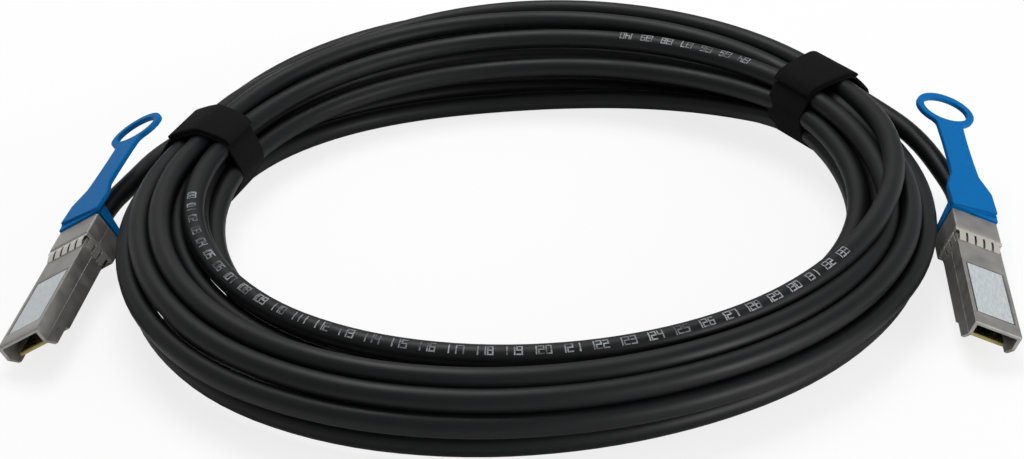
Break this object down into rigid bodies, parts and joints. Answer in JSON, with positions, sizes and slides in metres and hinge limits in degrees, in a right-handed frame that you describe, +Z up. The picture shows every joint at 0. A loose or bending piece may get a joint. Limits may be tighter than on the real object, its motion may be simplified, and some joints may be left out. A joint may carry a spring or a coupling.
{
  "type": "direct attach copper cable",
  "caption": "black copper network cable wound in a tied ring, with a latching pluggable connector and blue pull tab at each end",
  "frame": {"origin": "on the floor, midway between the outermost sides of the connectors and ties", "axes": "+Z up; +X from the left connector to the right one; the connectors point towards -Y"},
  "size_m": [0.2711, 0.2383, 0.032],
  "materials": {
    "cast_shell": "satin nickel plate over a zinc casting",
    "label_film": "silver-white printed film, left blank",
    "circuit_card": "solder mask over glass laminate",
    "gold_plate": "gold plate",
    "chip_body": "moulded epoxy",
    "pair_foil": "aluminium foil wrap",
    "spring_sheet": "bright tin-plated spring steel",
    "cast_lever": "nickel plate",
    "steel_pin": "ground steel",
    "stamped_slider": "stamped stainless sheet",
    "spring_wire": "spring wire",
    "crimp_metal": "tin-plated brass",
    "boot_rubber": "black moulded rubber",
    "screw_steel": "plated steel",
    "tab_elastomer": "blue moulded elastomer",
    "cable_jacket": "black satin jacket",
    "tie_fabric": "black hook-and-loop strap"
  },
  "bodies": {
    "cable": {"cable_boot_left": "boot_rubber", "cable_boot_right": "boot_rubber", "cable_coil": "cable_jacket", "card_contacts_left": "gold_plate", "card_contacts_right": "gold_plate", "cover_screws_left": "screw_steel", "cover_screws_right": "screw_steel", "crimp_ring_left": "crimp_metal", "crimp_ring_right": "crimp_metal", "emi_collar_left": "spring_sheet", "emi_collar_right": "spring_sheet", "label_left": "label_film", "label_right": "label_film", "lead_left": "cable_jacket", "lead_right": "cable_jacket", "memory_chip_left": "chip_body", "memory_chip_right": "chip_body", "paddle_card_left": "circuit_card", "paddle_card_right": "circuit_card", "pivot_pin_left": "steel_pin", "pivot_pin_right": "steel_pin", "return_springs_left": "spring_wire", "return_springs_right": "spring_wire", "rx_pair_left": "pair_foil", "rx_pair_right": "pair_foil", "shell_base_left": "cast_shell", "shell_base_right": "cast_shell", "shell_top_left": "cast_shell", "shell_top_right": "cast_shell", "tie_left": "tie_fabric", "tie_right": "tie_fabric", "tx_pair_left": "pair_foil", "tx_pair_right": "pair_foil"},
    "release_left": {"latch_slider_left": "stamped_slider", "pull_tab_left": "tab_elastomer"},
    "latch_left": {"latch_lever_left": "cast_lever"},
    "release_right": {"latch_slider_right": "stamped_slider", "pull_tab_right": "tab_elastomer"},
    "latch_right": {"latch_lever_right": "cast_lever"}
  },
  "joints": [
    {"name": "tab_pull_left", "type": "slide", "parent": "cable", "child": "release_left", "axis": [0.0941, 0.9951, 0.0297], "range_m": [0, 0.002], "stiffness_N_per_m": 1500, "springref_m": -0.0005, "deforming": ["return_springs_left"]},
    {"name": "latch_swing_left", "type": "hinge", "parent": "cable", "child": "latch_left", "pos_m": [-0.12247, -0.03196, 0.00592], "axis": [0.8456, -0.0956, 0.5252], "range_deg": [0, 4.8]},
    {"name": "tab_pull_right", "type": "slide", "parent": "cable", "child": "release_right", "axis": [0.0715, 0.9972, 0.0227], "range_m": [0, 0.002], "stiffness_N_per_m": 1500, "springref_m": -0.0005, "deforming": ["return_springs_right"]},
    {"name": "latch_swing_right", "type": "hinge", "parent": "cable", "child": "latch_right", "pos_m": [0.12362, -0.02675, 0.00516], "axis": [0.9311, -0.0586, -0.3599], "range_deg": [0, 4.8]}
  ],
  "couplings": [
    {"joint": "latch_swing_left", "follows": "tab_pull_left", "rad_per_m": 40},
    {"joint": "latch_swing_right", "follows": "tab_pull_right", "rad_per_m": 40}
  ]
}
